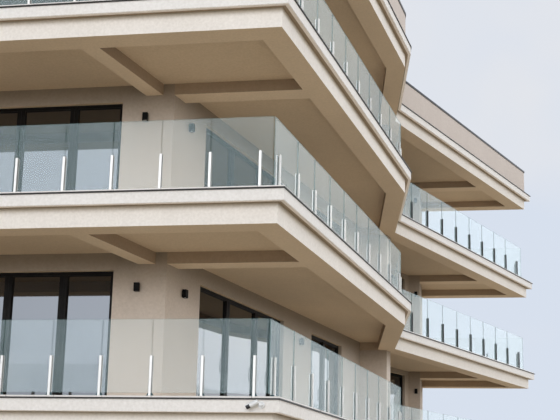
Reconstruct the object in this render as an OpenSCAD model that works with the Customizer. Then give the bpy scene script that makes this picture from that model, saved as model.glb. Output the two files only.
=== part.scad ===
// Apartment block: a ground floor and three upper storeys under a flat roof with a parapet.
// Every floor plate is the same angular outline, and its edge cantilevers past the walls
// as a balcony that runs round the front and both sides. Sizes are in millimetres.
// X runs to the right along the front, Y runs to the back, Z is up. The origin is on the
// ground in the middle of the plan, and the block is symmetric about the plane X = 0.

/* [Storeys] */
// Height from one floor level to the next
storey_h = 3000; // [2900:50:3300]
// Height of the ground floor's base slab
base_h = 150; // [80:10:250]
// Thickness of the floor finish on each slab
finish_t = 25; // [15:5:60]

/* [Slab outline] */
// Half the length of a slab's front edge
front_half = 7500; // [6500:100:9000]
// Depth of a slab from its front edge to its back edge
plan_depth = 20900; // [19500:100:22500]
// How far the fold in a side edge lies outside the front corner
fold_out = 1450; // [1200:50:1800]
// How far the fold in a side edge lies behind the front edge
fold_back = 8700; // [8200:50:9200]
// How far the notch in a side edge lies outside the front corner
notch_out = 1050; // [900:50:1200]
// How far the notch in a side edge lies behind the front edge
notch_back = 12100; // [11700:50:12250]
// How far the pointed back corner lies outside the front corner
tip_out = 4950; // [4500:50:5500]

/* [Slab edge] */
// Height of the upper band of a slab's edge, from the drip strip's top
band_h = 190; // [150:10:240]
// Depth of a slab from its floor level to the flat soffit
slab_t = 300; // [260:10:340]
// Depth from the floor level to the underside of the edge beams
beam_depth = 500; // [420:10:600]
// How far the upper band stands back from the drip strip's nose
band_in = 20; // [10:5:40]
// How far the lower band stands back from the drip strip's nose
lower_in = 150; // [110:10:200]
// Width of the edge beams' underside
edge_beam_w = 420; // [300:10:500]
// Width of the beams that carry on from the walls
cross_beam_w = 400; // [300:10:450]
// How far the forward beams stand inside the front wall's corners
forward_beam_in = 200; // [100:10:300]
// Height of the drip strip's face
drip_h = 20; // [12:2:30]
// Width of the drip strip
drip_w = 80; // [60:5:100]

/* [Walls] */
// Thickness of the outer walls
wall_t = 300; // [240:10:350]
// Depth of the front balcony, from the slab edge to the front wall
balcony_d = 2550; // [2200:50:2900]
// How far the front wall's corner lies inside the slab's front corner
corner_in = 2390; // [2150:10:2600]
// How far the wing wall's back face lies behind the slab's front edge
wing_back = 12640; // [12500:20:13000]
// How far the side wall's end lies outside the slab's front corner
wing_root_out = 70; // [0:10:150]
// Length of the wing wall that stands out on the balcony
wing_len = 680; // [400:20:700]
// How far the rear side wall starts inside the slab's front corner
rear_in = 1440; // [1200:20:1700]
// How far the rear side wall ends outside the slab's front corner
rear_out = 980; // [800:20:1100]
// How far the rear side wall ends in front of the slab's back edge
rear_front = 2800; // [2400:50:3300]
// Length of the short return wall at the rear balcony's end
return_len = 350; // [280:10:500]

/* [Windows] */
// Height of the window heads above the floor level
head_h = 2400; // [2200:20:2440]
// Height of the window heads in the rear side walls above the floor level
rear_head_h = 2560; // [2300:20:2620]
// Height of the threshold above the floor finish
threshold_h = 40; // [20:5:80]
// Gap between the front wall's corner and its nearest window
front_jamb = 920; // [800:20:1200]
// Width of each window in the front wall
front_window_w = 2790; // [2000:30:3000]
// Distance from the front wall's corner to the long window in the side wall
long_window_at = 1235; // [1100:15:1500]
// Width of the long window in a side wall, and of the rear side wall's window
long_window_w = 3855; // [3300:15:4000]
// Distance from the front wall's corner to the short window in the side wall
short_window_at = 6700; // [6300:20:7000]
// Width of the short window in a side wall
short_window_w = 2000; // [1500:20:2400]
// Gap between the rear side wall's window and the return wall
rear_jamb = 240; // [200:20:500]
// Distance from the middle of the back wall to the middle of its inner windows
back_inner_at = 2600; // [2300:50:3000]
// Distance from the middle of the back wall to the middle of its outer windows
back_outer_at = 6200; // [5800:50:6600]
// How far a window frame stands back from the wall's outer face
frame_back = 80; // [50:10:160]
// Depth of a window frame
frame_d = 70; // [60:5:100]
// Width of a window frame's face
frame_w = 60; // [40:5:80]
// Width of the bar between two sashes
mullion_w = 140; // [100:5:160]
// Thickness of the window glass
pane_t = 12; // [6:1:20]
// Width of the entrance in the back wall
door_w = 1600; // [1200:50:2000]
// Height of the entrance above the base slab
door_h = 2300; // [2100:20:2300]

/* [Balustrade] */
// How far the balustrade's glass stands back from the slab's edge
rail_in = 250; // [200:10:320]
// Height of the balustrade's glass above the floor finish
rail_h = 1120; // [1000:20:1240]
// Thickness of the balustrade's glass
rail_glass_t = 16; // [12:1:20]
// Gap below the balustrade's glass
rail_gap = 65; // [40:5:90]
// Gap between two balustrade panels
panel_gap = 10; // [6:1:20]
// Panel width along the front
front_panel = 745; // [650:5:900]
// Panel width along the sides, in front of the notch and along the back
side_panel = 910; // [800:10:1100]
// Panel width along the sides, behind the notch
rear_panel = 975; // [850:25:1100]
// Distance from a corner of the glass to the nearest post
post_end = 200; // [150:10:260]
// Distance from the pointed back corner of the glass to the nearest post beside it
tip_post_end = 420; // [200:20:500]
// Height of the posts above the floor finish
post_h = 595; // [400:5:700]
// Width of a post, along the glass
post_w = 40; // [30:2:60]
// Depth of a post, across the glass
post_d = 70; // [50:2:90]

/* [Roof] */
// Height of the coping's top above the roof slab's drip strip
parapet_h = 830; // [600:10:1000]
// Thickness of the parapet
parapet_t = 200; // [150:10:250]
// How far the parapet stands back from the drip strip's nose
parapet_in = 140; // [120:10:200]
// Height of the coping's face
coping_h = 60; // [40:5:90]
// Thickness of the coping's top
coping_t = 30; // [15:5:40]
// How far the coping stands past the parapet
coping_out = 15; // [10:1:30]

/* [Fittings] */
// Width of a wall light
light_w = 90; // [70:5:140]
// Height of a wall light
light_h = 145; // [120:5:200]
// Depth of a wall light from the wall
light_d = 85; // [70:5:120]
// Height of a wall light's middle above the floor level
light_z = 2100; // [1900:10:2250]
// Distance from the front wall's corner to the front wall's light
front_light_at = 490; // [400:10:700]
// Distance from the front wall's corner to the side wall's first light
side_light_at = 600; // [500:10:900]
// Distance from the front wall's corner to the side wall's second light
middle_light_at = 6015; // [5600:15:6300]
// Distance from the rear side wall's end to the return wall's light
return_light_at = 230; // [100:10:240]
// Thickness of a wall light's back plate
plate_t = 12; // [8:1:20]
// Distance from the front corner to the security camera's base
camera_in = 260; // [200:10:900]
// Diameter of the security camera's base
camera_base_d = 95; // [80:5:110]
// Diameter of the security camera's housing
camera_d = 66; // [50:2:80]
// Length of the security camera's housing
camera_len = 175; // [140:5:220]
// How far the middle of the camera's housing stands off the slab's upper band
camera_off = 75; // [70:1:90]
// Angle by which the camera's housing points down
camera_tilt = 27; // [10:1:35]

/* [Hidden] */
cream = "#e6ddd2";
taupe = "#9b8775";
paving = "#ddd6cb";
dark_metal = "#2f2c2a";
glazing = "#8fa3ad";
rail_tint = "#c5d6d4";
steel = "#c9cac8";
concrete = "#a7a39c";

LEVELS = 4;
fit = 0.3;
corner_gap = 14;
camera_reach = camera_off + camera_d / 2 - band_in;
front_y = (camera_reach - plan_depth) / 2;

// A right-hand point, given from the slab's front corner: outwards and backwards
function from_corner(out, back) = [front_half + out, front_y + back];
function mirrored(points) = [for (i = [len(points) - 1:-1:0]) [-points[i].x, points[i].y]];
function closed(right_points) = concat(right_points, mirrored(right_points));
function unit(v) = v / norm(v);
function left_of(v) = [-v.y, v.x];

// Outline moved inwards by d with sharp corners, for points that run anticlockwise
function inset(points, d) = [
    for (i = [0:len(points) - 1])
        let (
            before = points[(i + len(points) - 1) % len(points)],
            after = points[(i + 1) % len(points)],
            n1 = left_of(unit(points[i] - before)),
            n2 = left_of(unit(after - points[i]))
        )
        points[i] + d * (n1 + n2) / (1 + n1 * n2)
];

// Where the line through a and b reaches the given y
function at_y(a, b, y) = [a.x + (b.x - a.x) * (y - a.y) / (b.y - a.y), y];

slab_right = [
    from_corner(0, 0),
    from_corner(fold_out, fold_back),
    from_corner(notch_out, notch_back),
    from_corner(tip_out, plan_depth)
];
slab_outline = closed(slab_right);

wall_corner = from_corner(-corner_in, balcony_d);
wing_root = from_corner(wing_root_out, wing_back);
rear_start = from_corner(-rear_in, wing_back);
rear_end = from_corner(rear_out, plan_depth - rear_front);
return_end = from_corner(rear_out + return_len, plan_depth - rear_front);
back_corner = from_corner(rear_out + return_len, plan_depth - lower_in);
body_right = [wall_corner, wing_root, rear_start, rear_end, return_end, back_corner];
body_outline = closed(body_right);
body_inner = inset(body_outline, wall_t);
last = len(body_right) - 1;

side_dir = unit(wing_root - wall_corner);
wing_tip = [wing_root.x + wing_len, wing_root.y];
wing_front = wing_root.y - wall_t;
wing_front_tip = at_y(wing_tip, wing_tip + side_dir, wing_front);
// The wing wall starts inside the side wall, so that both make one piece
wing_start = [wing_root.x - wall_t / 2, wing_root.y];
wing_outline = [
    wing_start,
    at_y(wing_start, wing_start + side_dir, wing_front),
    wing_front_tip,
    wing_tip
];
base_outline = closed(concat(
    [wall_corner, at_y(wall_corner, wing_root, wing_front), wing_front_tip, wing_tip],
    [for (i = [2:last]) body_right[i]]
));

// Windows: wall's start, wall's end, distance along it, width, head height, and where
// the bars between its sashes stand, as shares of its width
two_sashes = [1 / 2];
three_sashes = [0.323, 0.677];
four_sashes = [1 / 4, 1 / 2, 3 / 4];
long_window_sashes = [0.342, 0.681, 0.888];
front_windows = [
    for (s = [front_jamb, 2 * wall_corner.x - front_jamb - front_window_w])
        [[-wall_corner.x, wall_corner.y], wall_corner, s, front_window_w, head_h, three_sashes]
];
side_windows = [
    [wall_corner, wing_root, long_window_at, long_window_w, head_h, long_window_sashes],
    [wall_corner, wing_root, short_window_at, short_window_w, head_h, two_sashes]
];
rear_window = [rear_start, rear_end, norm(rear_end - rear_start) - rear_jamb - long_window_w,
    long_window_w, rear_head_h, four_sashes];
back_windows = [
    for (row = [
            [back_outer_at, front_window_w, three_sashes],
            [back_inner_at, short_window_w, two_sashes]
        ])
        for (side = [-1, 1])
            [back_corner, [-back_corner.x, back_corner.y],
                back_corner.x + side * row[0] - row[1] / 2, row[1], head_h, row[2]]
];
// Wall lights: wall's start, wall's end, distance along it
side_lights = [
    [wall_corner, wing_root, side_light_at],
    [wall_corner, wing_root, middle_light_at],
    [rear_end, return_end, return_light_at]
];
front_light = [[-wall_corner.x, wall_corner.y], wall_corner, 2 * wall_corner.x - front_light_at];

function floor_z(level) = level * storey_h;
function standing_z(level) = level == 0 ? base_h : floor_z(level) + finish_t;

// Children drawn from z0 up to z1
module layer(z0, z1) {
    translate([0, 0, z0]) linear_extrude(z1 - z0) children();
}

// Ring between two insets of the slab outline
module slab_ring(outer_in, inner_in) {
    difference() {
        polygon(inset(slab_outline, outer_in));
        polygon(inset(slab_outline, inner_in));
    }
}

// Children on the right and mirrored on the left
module both_sides() {
    children();
    mirror([1, 0, 0]) children();
}

// Children at distance s along the wall from a to b: X along it, Y into the building
module on_wall(a, b, s, z) {
    translate([a.x, a.y, z])
        rotate([0, 0, atan2(b.y - a.y, b.x - a.x)])
            translate([s, 0, 0]) children();
}

// Ground slab and floor slabs

module ground_slab() {
    color(concrete) layer(0, base_h) polygon(base_outline);
}

// The upper band's plate, and below it the plate that ends at the edge beams
module slab(level) {
    z = floor_z(level);
    color(cream) {
        layer(z - band_h, z - drip_h) polygon(inset(slab_outline, band_in));
        layer(z - slab_t, z - band_h) {
            polygon(inset(slab_outline, lower_in + edge_beam_w));
            polygon(body_outline);
        }
    }
}

// Beams under a slab: a rim along its edge, and beams that carry on from the walls

module beam_field() {
    difference() {
        polygon(inset(slab_outline, lower_in + edge_beam_w));
        polygon(body_outline);
    }
}

module front_cross_beam() {
    translate([0, wall_corner.y]) square([2 * front_half, cross_beam_w]);
}

module rear_cross_beam() {
    translate([0, rear_end.y]) square([2 * front_half, cross_beam_w]);
}

module wing_beam() {
    translate([0, wing_root.y - wall_t]) square([2 * front_half, wall_t]);
}

// Runs forward from the front wall in line with the side wall
module forward_beam() {
    right = wall_corner - [forward_beam_in, 0];
    left = right - [wall_t, 0];
    polygon([
        left,
        at_y(left, left + side_dir, front_y),
        at_y(right, right + side_dir, front_y),
        right
    ]);
}

module beams(level) {
    z = floor_z(level);
    color(taupe) {
        layer(z - beam_depth, z - band_h) difference() {
            slab_ring(lower_in, lower_in + edge_beam_w);
            polygon(body_outline);
        }
        both_sides() layer(z - beam_depth, z - slab_t) intersection() {
            beam_field();
            union() {
                front_cross_beam();
                rear_cross_beam();
                wing_beam();
                forward_beam();
            }
        }
    }
}

module floor_finishes() {
    color(paving) for (level = [1:LEVELS - 1]) {
        z = floor_z(level);
        layer(z - drip_h, z) polygon(inset(slab_outline, drip_w));
        layer(z, z + finish_t) polygon(inset(slab_outline, band_in));
    }
}

module drip_edges() {
    color(dark_metal)
        for (level = [1:LEVELS])
            layer(floor_z(level) - drip_h, floor_z(level)) slab_ring(0, drip_w);
}

// Roof

roof_z = floor_z(LEVELS);
parapet_top = roof_z + parapet_h - coping_t;

module roof_covering() {
    color(concrete) layer(roof_z - drip_h, roof_z + finish_t)
        polygon(inset(slab_outline, parapet_in + parapet_t));
}

module parapet() {
    color(cream) {
        layer(roof_z - drip_h, roof_z)
            slab_ring(drip_w, parapet_in + parapet_t);
        layer(roof_z, parapet_top) slab_ring(parapet_in, parapet_in + parapet_t);
    }
}

module coping() {
    inner = parapet_in + parapet_t;
    color(dark_metal) {
        layer(parapet_top, parapet_top + coping_t)
            slab_ring(parapet_in - coping_out, inner + coping_out);
        layer(parapet_top + coping_t - coping_h, parapet_top) {
            slab_ring(parapet_in - coping_out, parapet_in);
            slab_ring(inner, inner + coping_out);
        }
    }
}

// Walls

module opening(window, level) {
    z = standing_z(level) + threshold_h;
    top = floor_z(level) + window[4];
    on_wall(window[0], window[1], window[2], z)
        translate([0, -wall_t, 0]) cube([window[3], 3 * wall_t, top - z]);
}

module wall_layer(level) {
    layer(standing_z(level), floor_z(level + 1) - slab_t) children();
}

module front_wall(level) {
    color(cream) difference() {
        wall_layer(level) polygon([
            [-wall_corner.x, wall_corner.y],
            wall_corner,
            body_inner[0],
            [-body_inner[0].x, body_inner[0].y]
        ]);
        for (window = front_windows) opening(window, level);
    }
}

// Stretch of the body's wall between two of its corners, as a ring with mitred ends
function wall_stretch(first, final) = concat(
    [for (i = [first:final]) body_right[i]],
    [for (i = [final:-1:first]) body_inner[i]]
);

// From the front wall's corner to the cross wall behind the wing, with the wing wall
module side_walls(level) {
    color(cream) both_sides() difference() {
        union() {
            wall_layer(level) polygon(wall_stretch(0, 2));
            layer(standing_z(level), floor_z(level + 1) - beam_depth) polygon(wing_outline);
        }
        for (window = side_windows) opening(window, level);
    }
}

// From the cross wall behind the wing to the back wall's corner
module rear_side_walls(level) {
    color(cream) both_sides() difference() {
        wall_layer(level) polygon(wall_stretch(2, last));
        opening(rear_window, level);
    }
}

module back_wall(level) {
    color(cream) difference() {
        wall_layer(level) polygon([
            back_corner,
            [-back_corner.x, back_corner.y],
            [-body_inner[last].x, body_inner[last].y],
            body_inner[last]
        ]);
        for (window = back_windows) opening(window, level);
        if (level == 0)
            translate([-door_w / 2, back_corner.y - 2 * wall_t, base_h])
                cube([door_w, 3 * wall_t, door_h]);
    }
}

// Windows

module window_frame(w, h, bars) {
    difference() {
        cube([w, frame_d, h]);
        translate([frame_w, -frame_d, frame_w])
            cube([w - 2 * frame_w, 3 * frame_d, h - 2 * frame_w]);
    }
    for (share = bars)
        translate([share * w - mullion_w / 2, 0, frame_w])
            cube([mullion_w, frame_d / 2, h - 2 * frame_w]);
}

module window_pane(w, h) {
    translate([frame_w, frame_d / 2, frame_w])
        cube([w - 2 * frame_w, pane_t, h - 2 * frame_w]);
}

module in_window(window, level) {
    on_wall(window[0], window[1], window[2], standing_z(level) + threshold_h)
        translate([0, frame_back, 0]) children();
}

function window_height(window, level) =
    floor_z(level) + window[4] - standing_z(level) - threshold_h;

// Every window of a storey, with its frame's or glass's size passed to the caller's child
module in_all_windows(level) {
    for (window = concat(front_windows, back_windows)) {
        $w = window[3];
        $h = window_height(window, level);
        $bars = window[5];
        in_window(window, level) children();
    }
    both_sides() for (window = concat(side_windows, [rear_window])) {
        $w = window[3];
        $h = window_height(window, level);
        $bars = window[5];
        in_window(window, level) children();
    }
}

module window_frames(level) {
    color(dark_metal) in_all_windows(level) window_frame($w, $h, $bars);
}

module window_glass(level) {
    color(glazing) in_all_windows(level) window_pane($w, $h);
}

// Two fixed leaves in a frame, in the middle of the back wall
module entrance_door() {
    leaf_w = (door_w - 2 * frame_w) / 2;
    color(dark_metal) translate([-door_w / 2, back_corner.y - frame_back - frame_d, base_h]) {
        difference() {
            cube([door_w, frame_d, door_h]);
            translate([frame_w, -frame_d, 0])
                cube([door_w - 2 * frame_w, 3 * frame_d, door_h - frame_w]);
        }
        difference() {
            translate([frame_w, frame_d / 4, 0]) cube([2 * leaf_w, frame_d / 2, door_h - frame_w]);
            translate([door_w / 2 - panel_gap / 2, 0.6 * frame_d, 0])
                cube([panel_gap, frame_d, door_h]);
        }
        for (side = [-1, 1])
            translate([door_w / 2 + side * 80 - 15, 0.75 * frame_d, 0.35 * door_h])
                cube([30, 40, 0.3 * door_h]);
    }
}

// Balustrade

rail_line = inset(slab_outline, rail_in);
rail_stop = [return_end.x + 5, rail_line[3].y];
// Runs of glass: start, end, panel width, distances of the first and the last post from
// the run's ends
front_run = [[-rail_line[0].x, rail_line[0].y], rail_line[0], front_panel, post_end, post_end];
side_runs = [
    [rail_line[0], rail_line[1], side_panel, post_end, post_end],
    [rail_line[1], rail_line[2], side_panel, post_end, post_end],
    [rail_line[2], rail_line[3], rear_panel, post_end, tip_post_end],
    [rail_line[3], rail_stop, side_panel, post_end, post_end]
];

function run_length(run) = norm(run[1] - run[0]);
function post_span(run) = run_length(run) - run[3] - run[4];
function run_panels(run) = max(2, round(post_span(run) / run[2]));
function post_at(run, i) = run[3] + i * post_span(run) / run_panels(run);
function joint_at(run, i) =
    i == 0 ? corner_gap - panel_gap / 2 :
    i == run_panels(run) ? run_length(run) - corner_gap + panel_gap / 2 : post_at(run, i);

module rail_panels(run, z) {
    for (i = [0:run_panels(run) - 1])
        on_wall(run[0], run[1], joint_at(run, i) + panel_gap / 2, z + rail_gap + fit)
            translate([0, -rail_glass_t / 2, 0])
                cube([joint_at(run, i + 1) - joint_at(run, i) - panel_gap, rail_glass_t,
                    rail_h - rail_gap - fit]);
}

// A foot that the glass stands on, with a cheek on each side of the glass
module post() {
    slot = rail_glass_t / 2 + fit;
    outer = post_d / 2;
    translate([-post_w / 2, 0, 0]) rotate([90, 0, 90]) linear_extrude(post_w) polygon([
        [-outer, 0], [outer, 0], [outer, post_h], [slot, post_h],
        [slot, rail_gap], [-slot, rail_gap], [-slot, post_h], [-outer, post_h]
    ]);
}

module rail_posts(run, z) {
    for (i = [0:run_panels(run)])
        on_wall(run[0], run[1], post_at(run, i), z) post();
}

module balustrade_glass(level) {
    z = standing_z(level);
    color(rail_tint, 0.5) {
        rail_panels(front_run, z);
        both_sides() for (run = side_runs) rail_panels(run, z);
    }
}

module balustrade_posts(level) {
    z = standing_z(level);
    color(steel) {
        rail_posts(front_run, z);
        both_sides() for (run = side_runs) rail_posts(run, z);
    }
}

// Fittings

module wall_light(place, level) {
    on_wall(place[0], place[1], place[2], floor_z(level) + light_z) {
        translate([-light_w * 0.4, -plate_t, -light_h * 0.35])
            cube([light_w * 0.8, plate_t, light_h * 0.7]);
        translate([-light_w / 2, -light_d, -light_h / 2])
            cube([light_w, light_d - plate_t, light_h]);
    }
}

module wall_lights() {
    color(dark_metal) for (level = [0:LEVELS - 1]) both_sides() {
        wall_light(front_light, level);
        for (place = side_lights) wall_light(place, level);
    }
}

// A bullet camera fixed to the first slab's upper band: a round base, an arm that stands
// off it, and a neck that leans up to the housing
module security_camera() {
    base_t = 22;
    arm_d = 24;
    neck_d = camera_d / 2;
    neck_len = 60;
    neck_lean = 50;
    housing_tail = 10;
    color(cream) translate([front_half - camera_in, front_y + band_in, floor_z(1) - band_h / 2]) {
        rotate([90, 0, 0]) cylinder(h = base_t, d = camera_base_d, $fn = 32);
        rotate([90, 0, 0]) cylinder(h = camera_off, d = arm_d, $fn = 24);
        translate([0, -camera_off, 0]) rotate([0, -neck_lean, 0]) {
            translate([0, 0, -arm_d]) cylinder(h = arm_d + neck_len, d = neck_d, $fn = 24);
            translate([0, 0, neck_len]) rotate([0, neck_lean - 90 - camera_tilt, 0])
                translate([0, 0, -housing_tail]) cylinder(h = camera_len, d = camera_d, $fn = 32);
        }
    }
}

ground_slab();
slab(1);  // slab_1
slab(2);  // slab_2
slab(3);  // slab_3
slab(LEVELS);  // roof_slab
beams(1);  // beams_1
beams(2);  // beams_2
beams(3);  // beams_3
beams(LEVELS);  // roof_beams
floor_finishes();
roof_covering();
drip_edges();
parapet();
coping();
front_wall(0);  // front_wall_ground
front_wall(1);  // front_wall_1
front_wall(2);  // front_wall_2
front_wall(3);  // front_wall_3
side_walls(0);  // side_walls_ground
side_walls(1);  // side_walls_1
side_walls(2);  // side_walls_2
side_walls(3);  // side_walls_3
rear_side_walls(0);  // rear_side_walls_ground
rear_side_walls(1);  // rear_side_walls_1
rear_side_walls(2);  // rear_side_walls_2
rear_side_walls(3);  // rear_side_walls_3
back_wall(0);  // back_wall_ground
back_wall(1);  // back_wall_1
back_wall(2);  // back_wall_2
back_wall(3);  // back_wall_3
window_frames(0);  // window_frames_ground
window_frames(1);  // window_frames_1
window_frames(2);  // window_frames_2
window_frames(3);  // window_frames_3
window_glass(0);  // window_glass_ground
window_glass(1);  // window_glass_1
window_glass(2);  // window_glass_2
window_glass(3);  // window_glass_3
balustrade_glass(1);  // balustrade_glass_1
balustrade_glass(2);  // balustrade_glass_2
balustrade_glass(3);  // balustrade_glass_3
balustrade_posts(1);  // balustrade_posts_1
balustrade_posts(2);  // balustrade_posts_2
balustrade_posts(3);  // balustrade_posts_3
entrance_door();
wall_lights();
security_camera();
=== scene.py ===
# %% [markdown]
# An apartment block in cream render, seen from below at its front corner. The frame holds
# its walls, slabs, windows and balustrades at their real size in metres. This lesson gives
# each surface its finish and adds the small parts that such a building has.

# %% Load the frame
import math
from collections import namedtuple

import bpy
from mathutils import Matrix, Vector
from mathutils.bvhtree import BVHTree


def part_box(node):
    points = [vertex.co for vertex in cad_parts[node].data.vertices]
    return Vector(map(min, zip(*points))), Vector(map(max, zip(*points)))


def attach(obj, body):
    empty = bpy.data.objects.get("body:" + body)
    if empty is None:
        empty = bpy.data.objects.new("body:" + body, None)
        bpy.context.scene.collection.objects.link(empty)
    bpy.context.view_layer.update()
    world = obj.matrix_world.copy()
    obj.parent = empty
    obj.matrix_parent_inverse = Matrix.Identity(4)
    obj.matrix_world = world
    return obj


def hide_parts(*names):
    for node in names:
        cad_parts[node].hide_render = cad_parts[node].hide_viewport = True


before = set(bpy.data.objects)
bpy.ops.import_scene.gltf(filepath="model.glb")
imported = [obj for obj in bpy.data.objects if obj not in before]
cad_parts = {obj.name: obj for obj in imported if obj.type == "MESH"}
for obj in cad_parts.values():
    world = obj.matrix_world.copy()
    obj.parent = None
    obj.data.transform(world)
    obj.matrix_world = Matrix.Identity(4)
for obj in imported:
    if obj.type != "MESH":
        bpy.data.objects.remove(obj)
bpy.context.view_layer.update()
storey_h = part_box("slab_2")[0].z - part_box("slab_1")[0].z

# %% [markdown]
# The photograph was taken with a longer lens from eye height, tilted upwards. The camera is
# placed by its distance from the slab's front right corner, so that it follows the frame.
# One rotation could turn it, but three small angles say more: how far it looks to the left,
# how far it looks up, and how far the picture leans.

# %% Camera
front_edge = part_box("drip_edges")[0].y
corner_x = 7.5
front_corner = Vector((corner_x, front_edge, 0.0))
camera_offset = Vector((2.316, -14.183, 1.536))
look_left = math.radians(9.42)
look_up = math.radians(11.43)
lean = math.radians(1.34)

level_forward = Vector((-math.sin(look_left), math.cos(look_left), 0.0))
level_right = Vector((level_forward.y, -level_forward.x, 0.0))
forward = level_forward * math.cos(look_up) + Vector((0.0, 0.0, math.sin(look_up)))
upward = level_right.cross(forward)
camera_right = level_right * math.cos(lean) + upward * math.sin(lean)
camera_up = upward * math.cos(lean) - level_right * math.sin(lean)

lens = bpy.data.cameras.new("camera")
lens.lens = 68.08
lens.sensor_width = 36.0
lens.shift_y = 0.15
lens.clip_end = 400.0
camera = bpy.data.objects.new("camera", lens)
bpy.context.scene.collection.objects.link(camera)
turn = Matrix((camera_right, camera_up, -forward)).transposed()
camera.matrix_world = Matrix.Translation(front_corner + camera_offset) @ turn.to_4x4()
bpy.context.scene.camera = camera
print("camera at", tuple(round(value, 2) for value in camera.matrix_world.translation))

# %% [markdown]
# Shader nodes are easier to read as sums. One small class wraps a socket, so that plus,
# minus, times and the remainder add Math nodes, and another adds any other node in a single
# call. It has short names for the few kinds of node that the finishes use again and again.

# %% Shader maths
class Socket:
    """An output socket that can be added, multiplied and compared like a number."""

    def __init__(self, nodes, socket):
        self.nodes = nodes
        self.socket = socket

    def maths(self, operation, first, second):
        return self.nodes.add("ShaderNodeMath", {"operation": operation}, {0: first, 1: second})

    def __add__(self, other):
        return self.maths("ADD", self, other)

    def __radd__(self, other):
        return self.maths("ADD", other, self)

    def __sub__(self, other):
        return self.maths("SUBTRACT", self, other)

    def __rsub__(self, other):
        return self.maths("SUBTRACT", other, self)

    def __mul__(self, other):
        return self.maths("MULTIPLY", self, other)

    def __rmul__(self, other):
        return self.maths("MULTIPLY", other, self)

    def __mod__(self, other):
        return self.maths("FLOORED_MODULO", self, other)

    def __gt__(self, other):
        return self.maths("GREATER_THAN", self, other)

    def __lt__(self, other):
        return self.maths("LESS_THAN", self, other)


# %% Node trees
class Nodes:
    """A node tree that grows by one call for each node."""

    def __init__(self, tree):
        self.tree = tree

    def add(self, kind, settings=None, values=None, output=0):
        node = self.tree.nodes.new(kind)
        for name, value in (settings or {}).items():
            setattr(node, name, value)
        for name, value in (values or {}).items():
            self.feed(node.inputs[name], value)
        return Socket(self, node.outputs[output])

    def feed(self, socket, value):
        if isinstance(value, Socket):
            self.tree.links.new(value.socket, socket)
        else:
            socket.default_value = value

    def part(self, vector, axis):
        """One of the three numbers of a vector."""
        return self.add("ShaderNodeSeparateXYZ", None, {0: vector}, output=axis)

    def dot(self, first, second):
        """How far the first vector reaches along the second."""
        settings = {"operation": "DOT_PRODUCT"}
        return self.add("ShaderNodeVectorMath", settings, {0: first, 1: second}, output="Value")

    def ramp(self, value, low, high, start=0.0, end=1.0, kind="SMOOTHSTEP"):
        """Goes from start to end while the value goes from low to high."""
        values = {"Value": value, "From Min": low, "From Max": high, "To Min": start, "To Max": end}
        return self.add("ShaderNodeMapRange", {"interpolation_type": kind}, values)

    def mix(self, share, first, second, blend="MIX"):
        settings = {"data_type": "RGBA", "blend_type": blend}
        return self.add("ShaderNodeMix", settings, {0: share, 6: first, 7: second}, output=2)

    def place(self, stretch=(1.0, 1.0, 1.0)):
        """The point on the object, in metres, with each direction stretched."""
        point = self.add("ShaderNodeTexCoord", output="Object")
        return self.add("ShaderNodeMapping", None, {"Vector": point, "Scale": stretch})

    def noise(self, scale, detail=3.0, stretch=(1.0, 1.0, 1.0)):
        """Soft random patches around 0.5, with that many to a metre."""
        values = {"Vector": self.place(stretch), "Scale": scale, "Detail": detail}
        return self.add("ShaderNodeTexNoise", None, values)

    def patches(self, scale, contrast, middle=0.5, **how):
        """The same patches with more or less contrast, around another middle."""
        return (self.noise(scale, **how) - 0.5) * contrast + middle


def rgb(red, green, blue):
    return (red, green, blue, 1.0)


# %% Finishes
class Finish(Nodes):
    """A material with a Principled shader. Colours are given as red, green and blue."""

    def __init__(self, name, **plain):
        self.material = bpy.data.materials.new(name)
        self.material.use_nodes = True
        super().__init__(self.material.node_tree)
        self.shader = self.tree.nodes["Principled BSDF"]
        for socket, value in plain.items():
            self.put(socket.replace("_", " "), value)

    def put(self, socket, value):
        self.feed(self.shader.inputs[socket], value)

    def paint(self, share, first, second):
        """Colours the surface between two colours, by a share that varies over it."""
        self.put("Base Color", self.mix(share, rgb(*first), rgb(*second)))

    def bump(self, height, strength, distance):
        values = {"Height": height, "Strength": strength, "Distance": distance}
        self.put("Normal", self.add("ShaderNodeBump", None, values))


print("shader helpers ready")

# %% [markdown]
# The light is that of a bright day without sharp sun. A weak light comes evenly from all
# round, and two bright parts low down, one in front and one to the right, light the front
# and the side and shine back from the windows. A third, fainter one behind the building
# makes the background pale. Lamps could light it too, but the glass would mirror them as
# hard spots.

# %% Daylight
bright_side = Vector((-0.15, -0.955, 0.25)).normalized()
right_side = (0.80, 0.54, 0.25)
far_side = (0.0, 1.0, 0.0)
even_light = 0.52
world = bpy.data.worlds.new("sky")
world.use_nodes = True
sky = Nodes(world.node_tree)
direction = sky.add("ShaderNodeTexCoord", output="Generated")


def glow_towards(way, low, high, strength):
    """A soft patch of light round a direction, from nothing to its full strength."""
    return sky.ramp(sky.dot(direction, way), low, high, end=strength)


street_glow = glow_towards(bright_side, low=0.8, high=1.0, strength=3.15)
side_glow = glow_towards(right_side, low=0.75, high=1.0, strength=2.5)
back_glow = glow_towards(far_side, low=0.4, high=0.8, strength=0.29)
clouds = sky.add("ShaderNodeTexNoise", None, {"Vector": direction, "Scale": 2.2, "Detail": 4.0})
sky_colour = sky.mix((clouds - 0.40) * 4.0, rgb(0.84, 0.92, 1.05), rgb(1.07, 1.03, 1.00))
background = world.node_tree.nodes["Background"]
sky.feed(background.inputs["Color"], sky_colour)
sky.feed(background.inputs["Strength"], even_light + street_glow + side_glow + back_glow)
bpy.context.scene.world = world
bpy.context.scene.view_settings.view_transform = "Standard"
print("brightest towards", tuple(round(value, 2) for value in bright_side))

# %% [markdown]
# The building stands on a plain pale floor, which isn't a part of it. A large plane is
# enough, and its soft patches keep it from looking like a sheet of paper.

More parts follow.
